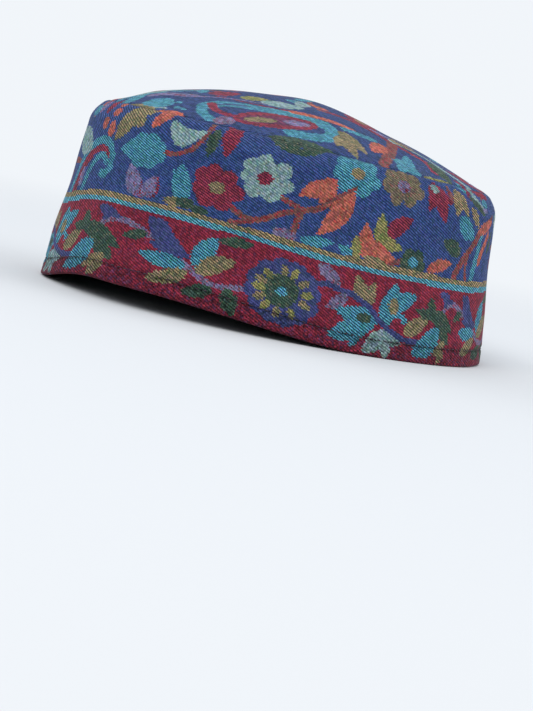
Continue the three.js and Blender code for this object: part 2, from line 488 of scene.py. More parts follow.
# The crown's chart is in plan millimetres, and is laid twice, the second time turned half round.
crown = {
    "vines": chart("""
teal 8.6  26 -61  24.4 -55  27 -47  30 -39  33 -30  36.5 -21.5  42 -15.5
teal 4.6  24.4 -59  29 -64.6  35 -66.4  41 -66
teal 7    40 -15  47 -13.6  53 -16.6  55.4 -23  55.4 -30  54 -36
navy 1.5  25.4 -59  26 -51  28.4 -43
teal 6.6  -3.4 -83  -6 -78.4  -10.4 -74  -14 -70.4
mauve 5.4  -3.6 -71  -0.6 -66.6  4.6 -63.4  8.6 -59.4
crimson 1.4  3.4 -64.6  6.6 -62.6
orange 5  -20.4 -82  -21 -76  -20.6 -71  -19 -67
teal 3    -16 -70.6  -9 -68  -5.6 -65.8
teal 3.6  -5 -60.6  -4.2 -55  -4 -50
crimson 1.6  11 -50  17.6 -44.8  20.4 -42.8  24.4 -37.6  27.2 -31.2  29.2 -24.4  30.4 -21.6
crimson 3.6  23.6 -58  28.5 -59.6  34 -59.6  39 -57
mauve 3.4  27 6  30 14  32 22  34 30
crimson 3.4  22 -6  25 3  30 11  37 20  41 27  46.4 33.4  52 33.4  57.6 32.4
rust 4.8  39 20.6  50 14  59 7.4  67 1
mauve 1.6  9 -62  14 -50  20 -38  26.6 -25
orange 3.8  30 -24  33 -16  37 -8  41 -1
teal 4    42.6 -5  44 2  44 8
lime 3    67 23  66 28.6  64.6 35
rust 2.4  2 -2  9 -5  16 -8
rust 2.2  2 30  14 34  24 30  34 36
mint 4    35.6 23  35.6 29.6  36.2 35  37.6 39.2  41.2 41.6  47.2 42.6  50 45.2  52 48.4
          54.8 50.4  58.4 51.4
rust 1.8  -2 44  4 50  7 56
"""),
    "leaves": chart("""
dark     58.4 -48.6  67.4 -21.4  7.6 0.8
dark     59 -43      66.2 -30    7.4 0
olive    45.4 -9.6   62 -4.6     8   0
olive    50 -11.6    67.6 -11.6  6.4 0
olive    50 -11      60.6 -18.2  5   0
orange   46 12.8     57.6 0.4    7.6 0
teal     63 16.6     47 23.8     6   0
teal     62 15       58.4 9.4    4   0
teal     62 17       69 19       5   0
teal     63 13       69 8.4      5   0
dark     44.5 37.5   65 37       8   0
teal     61.6 41     58.6 49.8   3   0
crimson  55.6 43.6   60.6 48.6   3.4 0
wine     42 48       45 70       13  0
lime     14 -40.6    16 -27.6    7   0
mint     19.6 -34    24 -15      9   0
crimson  5.5 -51     7.6 -37     9   0
teal     12 -18      16.4 -10    6   0
rust     10.5 -6.4   18.6 -7     4   0
rust     21 -8       23 -4       3.4 0
teal     9 -12       3 1         5.6 0
gold     33 22       36 34       6   0
mint     14.6 -80.6  22 -76      3   0
crimson  50 -60      58 -69      8   0
orange   36 -76      22 -81      8   0
olive    25 -84      3 -84       8   0
crimson  -8.6 -86    -6.6 -81.6  5   0
teal     -28 -64     -10 -84     5   0
olive    20 28       30 40       7   0
navy     31 42       41 54       7   0
dark     8 32        2 44        6   0
mauve    44 60       34 70       7   0
dark     10 20       16 29       5   0
teal     4 48        -4 54       5   0
crimson  -2 45       -12 46      5   0
teal     30 48       24 56       5.6 0
mint     -12 10      -22 17      7   0.6
orange   -14 8       -20 1       5.4 0
"""),
    "blooms": chart("""
crimson  43 -38      7.9 19.2    0 0
plum     43 -38      4.6 16.2    0 0
olive    43.6 -45.4  2.5 7.4     0 0
mauve    43.8 -28.8  2.9 6.2     0 0
lavender 43.4 -61.4  3.8 4.6     0 0
teal     61.8 15.6   6.4 5.4     0 0
mint     18 62       11 10       6 0.18
crimson  18 62       3.2 3       0 0
crimson  22 14       8 7.4       6 0.2
olive    22 14       3 2.8       0 0
orange   6 15.6      7.4 6.4     6 0.3
lime     6 15.6      2.4 2.2     0 0
lavender 3 36        5.6 4.6     5 0.28
red      3 36        1.6 1.4     0 0
teal     11.4 -75.4  7.6 6.4     6 0.12
teal     22.6 -72.6  1.6 1.6     0 0
teal     16.4 -69    1.8 1.2     0 0
teal     26 -71.4    1.4 1.2     0 0
"""),
}

# The stripe's two yarns by height, and where the pattern sags on the cap: place along the hem,
# width and depth. A sag grows up the cloth and dies out over a length below a height.
stripe = {
    "cyan": (32.7, 35.0),
    "gold": (35.0, 37.3),
    "sags": ((-24.0, 18.0, 1.2), (200.0, 34.0, 1.3)),
    "sagGrows": 30.0,
    "sagEnds": 75.0,
    "sagDiesOver": 40.0,
}

# Where the cap turns from its side to its back, the border's motifs lie closer together along
# the hem: from where, over what length and by how much in all.
closer = {"from": 176.0, "over": 38.0, "by": 20.0}

# How a motif is drawn: the teeth and outline of a leaf, the turn of a bloom's petals and the
# points on each stretch of a vine.
drawing = {
    "toothLong": 3.1,
    "toothDeep": 0.6,
    "toothFade": 2.0,  # half width of the leaf under which its teeth shrink
    "leafSkew": 0.8,
    "leafFull": 0.75,
    "petalTurn": 0.3,
    "vinePoints": 12,
}


# Fills in the yarn of every face of a cloth: motifs are painted in order over the ground.
class Loom:
    def __init__(self, x, y, ground):
        self.x, self.y, self.yarn = x, y, ground

    # The faces less than pad outside the box round some points.
    def near(self, xs, ys, pad):
        within = (self.x > np.min(xs) - pad) & (self.x < np.max(xs) + pad)
        return within & (self.y > np.min(ys) - pad) & (self.y < np.max(ys) + pad)

    # Gives a yarn to the faces of a box that a mask picks out.
    def put(self, where, mask, colour):
        index = np.flatnonzero(where)[mask]
        self.yarn[index] = yarnNames.index(colour)

    # A leaf is the band round its axis of half width wide/2 sin(pi t^skew)^full, t from base to
    # tip, with small teeth along its edge. The axis is bent sideways by 4 bend t(1-t).
    def leaf(self, colour, x0, y0, x1, y1, wide, bend):
        where = self.near((x0, x1), (y0, y1), wide / 2 + abs(bend))
        long = math.hypot(x1 - x0, y1 - y0)
        ax, ay = (x1 - x0) / long, (y1 - y0) / long
        dx, dy = self.x[where] - x0, self.y[where] - y0
        t = np.clip((dx * ax + dy * ay) / long, 0, 1)
        off = dy * ax - dx * ay - bend * 4 * t * (1 - t)
        half = wide / 2 * np.sin(np.pi * t ** drawing["leafSkew"]) ** drawing["leafFull"]
        teeth = drawing["toothDeep"] * ((t * long / drawing["toothLong"]) % 1 - 0.5)
        self.put(where, np.abs(off) < half - teeth * smooth(half / drawing["toothFade"]), colour)

    # A bloom is an oval whose edge is drawn in between its petals:
    # 1 - notch (1 - sqrt|cos(petals/2 * angle)|).
    def bloom(self, colour, cx, cy, half, tall, petals, notch):
        where = self.near((cx - half, cx + half), (cy - tall, cy + tall), 0)
        dx, dy = (self.x[where] - cx) / half, (self.y[where] - cy) / tall
        edge = 1.0
        if petals:
            lobe = np.abs(np.cos(petals / 2 * (np.arctan2(dy, dx) + drawing["petalTurn"])))
            edge = 1 - notch * (1 - np.sqrt(lobe))
        self.put(where, np.hypot(dx, dy) < edge, colour)

    # A vine is everything nearer than half its width to a smooth line through its points. From
    # b to c, with a and d on either side, the line is the Catmull-Rom curve
    # (2b + (c-a)t + (2a-5b+4c-d)t^2 + (3b-a-3c+d)t^3) / 2.
    def vine(self, colour, width, knots):
        padded = np.vstack([2 * knots[0] - knots[1], knots, 2 * knots[-1] - knots[-2]])
        t = np.linspace(0, 1, drawing["vinePoints"])[:, None]
        stretches = []
        for a, b, c, d in zip(padded, padded[1:], padded[2:], padded[3:]):
            square, cube = 2 * a - 5 * b + 4 * c - d, 3 * b - a - 3 * c + d
            stretches.append(0.5 * (2 * b + (c - a) * t + square * t**2 + cube * t**3))
        line = np.vstack(stretches)
        where = self.near(line[:, 0], line[:, 1], width)
        px, py = self.x[where], self.y[where]
        nearest = np.full(px.shape, np.inf)
        for x, y in line:
            nearest = np.minimum(nearest, (px - x) ** 2 + (py - y) ** 2)
        self.put(where, nearest < (width / 2) ** 2, colour)

    # Each row is a line's width and then the points along it.
    def vines(self, rows, shift, flip):
        for colour, (width, *places) in rows:
            self.vine(colour, width, flip * np.array(places).reshape(-1, 2) + (shift, 0.0))

    # Lays a whole chart, moved along by shift and turned half round where flip is -1.
    def motifs(self, table, shift, flip=1):
        self.vines(table["vines"], shift, flip)
        for colour, (x0, y0, x1, y1, wide, bend) in table["leaves"]:
            self.leaf(colour, flip * x0 + shift, flip * y0, flip * x1 + shift, flip * y1, wide, bend)
        for colour, (cx, cy, half, tall, petals, notch) in table["blooms"]:
            self.bloom(colour, flip * cx + shift, flip * cy, half, tall, petals, notch)
        self.vines(table.get("veins", []), shift, flip)

    # Each ray of the rosette is a leaf that points away from the centre.
    def layRosette(self, shift):
        cx, cy = rosette["centre"]
        near, far = rosette["from"], rosette["to"]
        for ray, angle in enumerate(np.radians(rosette["rays"])):
            dx, dy = rosette["half"][0] * math.cos(angle), rosette["half"][1] * math.sin(angle)
            self.leaf(rosette["yarns"][ray % 2], cx + shift + near * dx, cy + near * dy,
                      cx + shift + far * dx, cy + far * dy, rosette["wide"], 0)


# The band's yarns: the border on wine, the stripe's two yarns, and the field on blue. The place
# of a face in the pattern is its place on the cloth with the sags added to its height.
def weaveBand(u, v):
    sag = sum(depth * bell(u - at, wide) for at, wide, depth in stripe["sags"])
    dying = smooth((stripe["sagEnds"] - v) / stripe["sagDiesOver"])
    y = v + sag * smooth(v / stripe["sagGrows"]) * dying
    along = u + closer["by"] * smooth((u - closer["from"]) / closer["over"])
    ground = np.where(y < stripe["gold"][0], yarnNames.index("wine"), yarnNames.index("blue"))
    lower = Loom(along, y, ground.copy())
    upper = Loom(u, y, ground.copy())
    for loom, table in ((lower, border), (upper, field)):
        repeat = table["repeat"]
        first = math.floor(loom.x.min() / repeat) - 1
        last = math.ceil(loom.x.max() / repeat) + 1
        for k in range(first, last):
            loom.motifs(table, k * repeat)
            if table is border:
                loom.layRosette(k * repeat)
    yarn = np.where(y < stripe["cyan"][0], lower.yarn, upper.yarn)
    for name in ("cyan", "gold"):
        low, high = stripe[name]
        yarn = np.where((y >= low) & (y < high), yarnNames.index(name), yarn)
    return yarn


# The crown's yarns: its chart as it is, then turned half round.
def weaveCrown(x, y):
    loom = Loom(x, y, np.full(x.shape, yarnNames.index("blue")))
    loom.motifs(crown, 0)
    loom.motifs(crown, 0, -1)
    return loom.yarn


# sRGB 0-255 to linear light: c / 12.92 for the darkest, else ((c + 0.055) / 1.055)^2.4.
def linear(srgb):
    c = np.asarray(srgb, float) / 255
    return np.where(c <= 0.04045, c / 12.92, ((c + 0.055) / 1.055) ** 2.4)


# Linear colour and gap depth of every face's yarn, mixed with the other yarn where a fleck
# falls: yarn (1 - m) + fleck m, and the colour times the face's tone.
def dyeFaces(yarn, tone):
    table = np.array([[*linear(yarns[n][:3]), yarns[n][3]] for n in yarnNames])
    other = np.arange(len(yarnNames))
    share, strength = np.zeros(len(yarnNames)), np.zeros(len(yarnNames))
    for name, (fleck, part, strong) in flecks.items():
        k = yarnNames.index(name)
        other[k], share[k], strength[k] = yarnNames.index(fleck), part, strong
    mixed = ((rng.random(len(yarn)) < share[yarn]) * strength[yarn])[:, None]
    dye = table[yarn] * (1 - mixed) + table[other[yarn]] * mixed
    dye[:, :3] *= tone[:, None]
    return dye


# A piece from whole arrays: points in mm, faces as rows of point numbers, UVs for each corner of
# a face and a dye for each face. It rides on the root.
def makeMesh(name, points, faces, material, uvs=None, bakeUvs=None, dye=None):
    mesh = bpy.data.meshes.new(name)
    mesh.vertices.add(len(points))
    mesh.vertices.foreach_set("co", (np.asarray(points) * mm).ravel().astype(np.float32))
    sides = faces.shape[1]
    mesh.loops.add(faces.size)
    mesh.loops.foreach_set("vertex_index", faces.ravel().astype(np.int32))
    mesh.polygons.add(len(faces))
    mesh.polygons.foreach_set("loop_start", np.arange(0, faces.size, sides, dtype=np.int32))
    mesh.polygons.foreach_set("loop_total", np.full(len(faces), sides, np.int32))
    mesh.polygons.foreach_set("use_smooth", np.ones(len(faces), bool))
    for layer, values in (("cloth", uvs), ("OFBake", bakeUvs)):
        if values is not None:
            uv = mesh.uv_layers.new(name=layer)
            uv.data.foreach_set("uv", values.ravel().astype(np.float32))
    if dye is not None:
        colour = mesh.attributes.new("dye", "FLOAT_COLOR", "FACE")
        colour.data.foreach_set("color", dye.ravel().astype(np.float32))
    mesh.update()
    mesh.validate()
    mesh.materials.append(material)
    piece = bpy.data.objects.new(name, mesh)
    bpy.context.scene.collection.objects.link(piece)
    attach(piece, "root")
    return piece


# Joins points that coincide, which closes a seam and turns the quads round a pole into triangles.
def weld(piece):
    work = bmesh.new()
    work.from_mesh(piece.data)
    bmesh.ops.remove_doubles(work, verts=work.verts, dist=0.001 * mm)
    work.to_mesh(piece.data)
    work.free()


# A face of n corners counts as n - 2 triangles.
def tell(piece):
    print(piece.name, len(piece.data.loops) - 2 * len(piece.data.polygons), "triangles")


# Quads of a grid of rows by columns of points. They face outwards when columns grow along u and
# rows grow up the cloth.
def gridFaces(rows, columns):
    first = (np.arange(rows - 1)[:, None] * columns + np.arange(columns - 1)[None, :]).ravel()
    return np.stack([first, first + 1, first + columns + 1, first + columns], -1)


uvScale = 0.01  # a millimetre of cloth in its UV map


# A node tree with a principled surface, and short ways to add nodes to it. An input is given a
# value or another node's output.
class Nodes:
    def __init__(self, name):
        self.material = bpy.data.materials.new(name)
        self.material.use_nodes = True
        self.tree = self.material.node_tree
        self.tree.nodes.clear()
        self.out = self.tree.nodes.new("ShaderNodeOutputMaterial")
        self.surface = self.tree.nodes.new("ShaderNodeBsdfPrincipled")
        self.tree.links.new(self.surface.outputs[0], self.out.inputs[0])

    def new(self, kind, **inputs):
        node = self.tree.nodes.new(kind)
        for key, value in inputs.items():
            self.set(node.inputs[key.replace("_", " ")], value)
        return node

    def set(self, socket, value):
        if isinstance(value, bpy.types.NodeSocket):
            self.tree.links.new(value, socket)
        else:
            socket.default_value = value

    def math(self, kind, *values):
        node = self.tree.nodes.new("ShaderNodeMath")
        node.operation = kind
        for socket, value in zip(node.inputs, values):
            self.set(socket, value)
        return node.outputs[0]

    def mix(self, factor, a, b, kind="MIX"):
        node = self.tree.nodes.new("ShaderNodeMix")
        node.data_type = "RGBA"
        node.blend_type = kind
        self.set(node.inputs["Factor"], factor)
        self.set(node.inputs["A"], a)
        self.set(node.inputs["B"], b)
        return node.outputs["Result"]

    # Carries low..high over to toLow..toHigh along a smooth step.
    def spread(self, value, low, high, toLow=0.0, toHigh=1.0):
        node = self.tree.nodes.new("ShaderNodeMapRange")
        node.interpolation_type = "SMOOTHSTEP"
        for socket, v in zip(node.inputs, (value, low, high, toLow, toHigh)):
            self.set(socket, v)
        return node.outputs[0]

    # The cloth's own coordinates: its UV vector, then mm along and up the cloth.
    def clothPlace(self):
        uv = self.new("ShaderNodeUVMap")
        uv.uv_map = "cloth"
        axes = self.new("ShaderNodeSeparateXYZ", Vector=uv.outputs[0])
        along, up = (self.math("MULTIPLY", axes.outputs[k], 1 / uvScale) for k in (0, 1))
        return uv.outputs[0], along, up

    # Bump of a look's own strength and depth.
    def bump(self, look, height):
        strength, distance = look["bumpStrength"], look["bump"] * mm
        node = self.new("ShaderNodeBump", Strength=strength, Distance=distance, Height=height)
        return node.outputs[0]

    def principled(self, **inputs):
        for key, value in inputs.items():
            self.set(self.surface.inputs[key.replace("_", " ")], value)


noiseMiddle = (0.3, 0.7)  # where most of a noise node's values lie

# Jacquard twill, in mm of cloth. Noise scales are for its UV map.
weave = {
    "pick": 0.36,  # height of a row of weft
    "wobble": 0.5,  # how far the rows wander
    "wobbleScale": 22.0,
    "twill": 1.12,  # from one twill line to the next, up the cloth
    "slope": 0.45,
    "float": (0.33, 0.13),  # a float ends and is full, as shares of the twill from its middle
    "stroke": 1.1,  # length of a stroke along a twill line
    "strokeShift": 0.37,
    "gap": (0.05, 0.06, 0.09, 1),  # tint of the warp in the gaps
    "tone": (0.76, 1.26),  # of the strokes
    "tint": 0.3,
    "cloud": 0.08,  # slow change of tone, each way
    "cloudScale": 12.0,
    "pickEdge": 0.7,  # brightness at the edges of a row
    "bump": 0.16,
    "bumpStrength": 0.8,
    "surface": {
        "Roughness": 0.92,
        "Specular_IOR_Level": 0.12,
        "Sheen_Weight": 0.06,
        "Sheen_Roughness": 0.3,
    },
}


# The cloth is rows of picks, and along each row floats of weft alternate with gaps: a float's
# place is the fraction of (row height + slope * along) / twill. Each twill line is broken into
# strokes. Gives how far a point is in a float, the roundness of its pick and its stroke's draw.
def twillFloats(n, uv, along, up):
    wobble = n.new("ShaderNodeTexNoise", Vector=uv, Scale=weave["wobbleScale"], Detail=2.0)
    up = n.math("ADD", up, n.math("MULTIPLY", wobble.outputs[0], weave["wobble"]))
    pick = n.math("DIVIDE", up, weave["pick"])
    rowUp = n.math("MULTIPLY", n.math("ADD", n.math("FLOOR", pick), 0.5), weave["pick"])
    roundPick = n.math("SINE", n.math("MULTIPLY", n.math("FRACT", pick), math.pi))
    slant = n.math("ADD", rowUp, n.math("MULTIPLY", along, weave["slope"]))
    place = n.math("DIVIDE", slant, weave["twill"])
    fromMiddle = n.math("ABSOLUTE", n.math("SUBTRACT", n.math("FRACT", place), 0.5))
    weft = n.spread(fromMiddle, *weave["float"])
    line = n.math("FLOOR", place)
    stroke = n.math("DIVIDE", along, weave["stroke"])
    stroke = n.math("FLOOR", n.math("MULTIPLY_ADD", line, weave["strokeShift"], stroke))
    key = n.new("ShaderNodeCombineXYZ", X=line, Y=stroke)
    return weft, roundPick, n.new("ShaderNodeTexWhiteNoise", Vector=key.outputs[0])


# The floats show the face's dye in their stroke's own tone, and the gaps show the dark warp as
# far as the dye's alpha says.
def clothMaterial(name):
    n = Nodes(name)
    uv, along, up = n.clothPlace()
    weft, roundPick, draw = twillFloats(n, uv, along, up)
    dye = n.new("ShaderNodeAttribute")
    dye.attribute_name = "dye"
    cloud = n.new("ShaderNodeTexNoise", Vector=uv, Scale=weave["cloudScale"], Detail=3.0)
    cloudTone = n.spread(cloud.outputs[0], *noiseMiddle, -weave["cloud"], weave["cloud"])
    tone = n.math("ADD", n.spread(draw.outputs[0], 0, 1, *weave["tone"]), cloudTone)
    parts = n.new("ShaderNodeSeparateColor", Color=draw.outputs["Color"])
    tints = []
    for part in parts.outputs:
        tint = n.math("MULTIPLY_ADD", part, weave["tint"], -weave["tint"] / 2)
        tints.append(n.math("ADD", tone, tint))
    toneColour = n.new("ShaderNodeCombineColor", Red=tints[0], Green=tints[1], Blue=tints[2])
    lit = n.mix(1.0, dye.outputs["Color"], toneColour.outputs[0], "MULTIPLY")
    warp = n.mix(1.0, dye.outputs["Color"], weave["gap"], "MULTIPLY")
    deep = n.mix(dye.outputs["Alpha"], lit, warp)
    shade = n.math("MULTIPLY", weft, n.spread(roundPick, 0, 0.5, weave["pickEdge"], 1.0))
    bump = n.bump(weave, n.math("MULTIPLY", weft, roundPick))
    n.principled(Base_Color=n.mix(shade, deep, lit), Normal=bump, **weave["surface"])
    return n.material


liningLook = {
    "colour": (0.045, 0.100, 0.094, 1),
    "tone": (0.75, 1.25),
    "toneScale": 30.0,
    "ribs": 0.5,  # mm from one to the next, both ways
    "bump": 0.08,
    "bumpStrength": 0.5,
    "surface": {"Roughness": 0.7, "Sheen_Weight": 0.1},
}


# Plain weave: its height is the product of two sines, one along and one up the cloth.
def liningMaterial():
    n = Nodes("lining weave")
    uv, *place = n.clothPlace()
    turn = 2 * math.pi / liningLook["ribs"]
    ribs = [n.math("SINE", n.math("MULTIPLY", axis, turn)) for axis in place]
    bump = n.bump(liningLook, n.math("MULTIPLY", *ribs))
    noise = n.new("ShaderNodeTexNoise", Vector=uv, Scale=liningLook["toneScale"], Detail=4.0)
    tone = n.spread(noise.outputs[0], *noiseMiddle, *liningLook["tone"])
    toneColour = n.new("ShaderNodeCombineColor", Red=tone, Green=tone, Blue=tone)
    colour = n.mix(1.0, liningLook["colour"], toneColour.outputs[0], "MULTIPLY")
    n.principled(Base_Color=colour, Normal=bump, **liningLook["surface"])
    return n.material


threadLook = {
    "dark": (0.012, 0.012, 0.02, 1),
    "pale": (0.05, 0.022, 0.04, 1),
    "noiseScale": 900.0,
    "bump": 0.05,
    "bumpStrength": 0.4,
    "roughness": 0.75,
}


# Sewing thread: noise over the piece mixes its two tones and gives its bump.
def threadMaterial():
    n = Nodes("hem thread")
    where = n.new("ShaderNodeTexCoord").outputs["Object"]
    noise = n.new("ShaderNodeTexNoise", Vector=where, Scale=threadLook["noiseScale"], Detail=2.0)
    colour = n.mix(noise.outputs[0], threadLook["dark"], threadLook["pale"])
    bump = n.bump(threadLook, noise.outputs[0])
    n.principled(Base_Color=colour, Roughness=threadLook["roughness"], Normal=bump)
    return n.material


cloth = clothMaterial("jacquard cloth")

band = {
    "columns": 760,
    "rows": 118,
    "backGap": 0.12,  # from each end of the strip to the middle of the back seam
    "hemRound": 1.15,
    "hemInside": 2.35,  # depth of the turned hem's inner side
    "hemTurns": (30, 60, 90),  # degrees round the hem's fold
    "turnUp": (2.6, 5.4, 8.0),  # heights of the turned hem's rows
    "tuckUp": (0.22, 0.3, 0.2),  # the top edge, over the seam and in under it
    "tuckIn": (0.35, 0.9, 2.2),
    "flap": ((0.09, 0.35), (0.0, 2.4)),  # bend and edge of an end: along, and into the cap
    "flapCloth": (0.4, 2.4),  # length of cloth to them
    "hemCloth": 0.4,
    "stitchLine": 7.2,
    "bakeStrips": 4,
    "bakeMargin": (0.004, 0.01),
    # How the face stands in or out, in mm, with the seed of each set of waves.
    "relief": {
        "slow": {"deep": 0.35, "size": 46, "flat": 1.3, "seed": 3, "grows": 20, "ends": 70, "over": 20},
        "pucker": {"deep": 0.16, "size": 7.5, "flat": 0.25, "seed": 5, "count": 6, "wide": 5.5},
        "groove": {"deep": 0.5, "wide": 0.8},
        "ridge": {"high": 0.25, "below": 1.8, "wide": 1.6},
        "gather": {"deep": 0.12, "size": 9, "flat": 0.2, "seed": 8, "count": 6, "wide": 6},
    },
    # How the weave and the sewing change the colours, and where shade is painted along the stitch line and
    # under the crown seam.
    "look": {
        "step": 0.3,  # mm that one row of faces is shifted against the next
        "ragged": 0.14,
        "sway": {"deep": 0.14, "size": 4, "seed": 41},
        "doubledFrom": 0.4,  # above the stitch line
        "doubledOver": 0.8,
        "doubledDark": 0.26,
        "plumInHem": 0.22,  # share of plum in the doubled wine
        # painted shade in the groove along the stitch line: how dark, how far below it, how wide, and waves
        # that make it uneven
        "stitchShadeDark": 0.5,
        "stitchShadeBelow": 0.3,
        "stitchShadeWide": 0.7,
        "stitchShadeWaves": {"deep": 0.25, "size": 9, "seed": 44},
        # painted shade under the crown seam: how dark and how wide
        "seamShadeDark": 0.2,
        "seamShadeWide": 0.9,
        "uneven": 0.07,
        "unevenDoubled": 0.14,
    },
}


# How far the cloth stands in (positive) or out from its plain form, in mm: slow waves over the
# wall, puckers along the hem stitching with a groove where the stitches pull it in, and a ridge
# with puckers below the crown seam. Waves are times a step or a bell of the height.
def bandRelief(u, v):
    slow, pucker, groove, ridge, gather = band["relief"].values()
    above, below = v - band["stitchLine"], seamHeight(u) - v
    wall = ripple(slow, u, v) * smooth(v / slow["grows"]) * smooth((slow["ends"] - v) / slow["over"])
    hem = ripple(pucker, u, v) * bell(above, pucker["wide"])
    line = groove["deep"] * bell(above, groove["wide"])
    seam = -ridge["high"] * bell(below - ridge["below"], ridge["wide"])
    seam = seam + ripple(gather, u, v) * bell(below, gather["wide"])
    return wall + hem + line + seam


# The rows of the band, each a height up the cloth and a depth for every column: down the inside
# of the turned hem and round its fold, a quarter turn of radius r, then up the face, and in
# under the crown seam.
def bandRows(columns):
    top = seamHeight(columns)
    v = np.linspace(0, 1, band["rows"] + 1)[:, None] * top[None, :]
    fold = np.clip(1 - v / band["hemRound"], 0, 1)
    rounded = band["hemRound"] * (1 - np.sqrt(1 - fold**2))
    depth = bandRelief(np.broadcast_to(columns, v.shape), v) + rounded
    r, inside = band["hemRound"], band["hemInside"]
    hem = [(r - r * np.cos(turn), r + (inside - r) * np.sin(turn)) for turn in np.radians(band["hemTurns"])]
    hem += [(high, inside) for high in band["turnUp"]]
    under = [(np.full_like(columns, high), np.full_like(columns, deep)) for high, deep in hem]
    tucked = [(top + up, depth[-1] + inward) for up, inward in zip(band["tuckUp"], band["tuckIn"])]
    return under[::-1] + list(zip(v, depth)) + tucked


# One end of the strip turned in at the back seam: its bend and its edge, as columns of points.
def bandFlap(columns, rows, side):
    end = 0 if side < 0 else -1
    turned = []
    for along, inward in band["flap"]:
        u = columns[end] + side * along
        turned.append(np.stack([bandPoint(u, high[end], deep[end] + inward) for high, deep in rows]))
    return np.stack(turned[::side], 1)


# The place of every point on the flat cloth: the strip and its flaps along the hem, and up from
# the hem's edge, with the turned hem below it.
def bandCloth(columns, rows):
    bent, edge = band["flapCloth"]
    u = np.r_[columns[0] - edge, columns[0] - bent, columns, columns[-1] + bent, columns[-1] + edge]
    v = np.stack([high for high, _ in rows])
    turned = len(band["hemTurns"]) + len(band["turnUp"])
    v[:turned] = -np.abs(v[:turned]) - band["hemCloth"]
    v = np.pad(v, ((0, 0), (2, 2)), mode="edge")
    return np.broadcast_to(u, v.shape).ravel(), v.ravel()


# Each face has the yarn of its place on the cloth, shifted a little from row to row so that the
# outlines are stepped. The doubled hem is darker with plum in it, and shade is painted into the
# cloth along the groove of the stitch line and under the crown seam.
def dyeBand(u, v, row):
    look, uneven = band["look"], band["look"]["stitchShadeWaves"]
    ragged = look["step"] * (row % 2 - 0.5) + rng.normal(0, look["ragged"], len(u))
    yarn = weaveBand(u + ragged + ripple(look["sway"], u, v), v)
    doubled = smooth((band["stitchLine"] + look["doubledFrom"] - v) / look["doubledOver"])
    # Painted shade in the groove of the stitch line, uneven along it.
    sewn = bell(v - band["stitchLine"] + look["stitchShadeBelow"], look["stitchShadeWide"])
    sewn = sewn * (1 - uneven["deep"] + ripple(uneven, u, v))
    wine = (doubled > 0.5) & (yarn == yarnNames.index("wine"))
    plum = wine & (rng.random(len(u)) < look["plumInHem"])
    yarn = np.where(plum, yarnNames.index("plum"), yarn)
    # Painted shade under the crown seam.
    seamShadow = bell(seamHeight(u) - v, look["seamShadeWide"])
    tone = 1 - look["doubledDark"] * doubled - look["stitchShadeDark"] * sewn - look["seamShadeDark"] * seamShadow
    tone = tone + rng.normal(0, 1, len(u)) * (look["uneven"] + look["unevenDoubled"] * doubled)
    return dyeFaces(yarn, tone)


# The bake layout is a square: the band is cut into strips that lie one above the other.
def bandBake(faces, rows, columns):
    strips, (side, foot) = band["bakeStrips"], band["bakeMargin"]
    x = np.arange(columns) / (columns - 1) * strips
    middle = (np.arange(columns - 1) + 0.5) / (columns - 1) * strips
    strip = np.tile(np.minimum(np.floor(middle), strips - 1), rows - 1)[:, None]
    across = x[faces % columns] - strip
    up = (faces // columns) / (rows - 1)
    return np.stack([side + (1 - 2 * side) * across, (strip + foot + (1 - 2 * foot) * up) / strips], -1)


# The face of the band and its two flaps are one grid, with UVs for the weave and for the bake.
def makeBand():
    back = hemLength / 2 - band["backGap"]
    strip = np.linspace(-back, back, band["columns"] + 1)
    pairs = bandRows(strip)
    face = np.stack([bandPoint(strip, high, deep) for high, deep in pairs])
    grid = np.concatenate([bandFlap(strip, pairs, -1), face, bandFlap(strip, pairs, 1)], 1)
    rows, columns = grid.shape[:2]
    faces = gridFaces(rows, columns)
    u, v = bandCloth(strip, pairs)
    row = np.repeat(np.arange(rows - 1), columns - 1)
    dye = dyeBand(u[faces].mean(1), v[faces].mean(1), row)
    uvs = np.stack([u[faces], v[faces]], -1) * uvScale
    bake = bandBake(faces, rows, columns)
    piece = makeMesh("side_band_cloth", grid.reshape(-1, 3), faces, cloth, uvs, bake, dye)
    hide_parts("side_band")
    return piece


sideBand = makeBand()
tell(sideBand)

# The crown panel is a grid in plan, in mm, cut to the oval of its seam.
panel = {
    "step": 0.62,
    "halfWidth": 76,  # of the grid, past the seam
    "halfLength": 94,
    "seamGap": 0.25,
    "tuckRound": 0.7,
    "tuckOut": 0.18,
    "tuckDown": 2.4,
    "slow": {"deep": 0.3, "size": 34, "seed": 21, "over": 12},
    "pucker": {"deep": 0.14, "size": 8, "flat": 0.25, "seed": 22, "count": 6, "wide": 5, "radius": 76},
    "ridge": {"high": 0.22, "within": 1.9, "wide": 1.6},
    "bakeSide": 190,
    # How the weave and the sewing change the colours, with shade painted along the seam.
    "look": {
        "shift": 0.24,  # mm that one row of faces is shifted against the next
        "ragged": 0.1,
        "sway": {"deep": 0.14, "size": 4, "seed": 43},
        # painted shade along the seam: how dark and how wide
        "seamShadeDark": 0.2,
        "seamShadeWide": 0.9,
        "streaks": {"deep": 0.11, "long": 0.4, "size": 2.6, "seed": 45},
        "uneven": 0.12,
        "ground": 0.85,  # brightness of the blue and of the motifs on it
        "motifs": 1.07,
    },
}


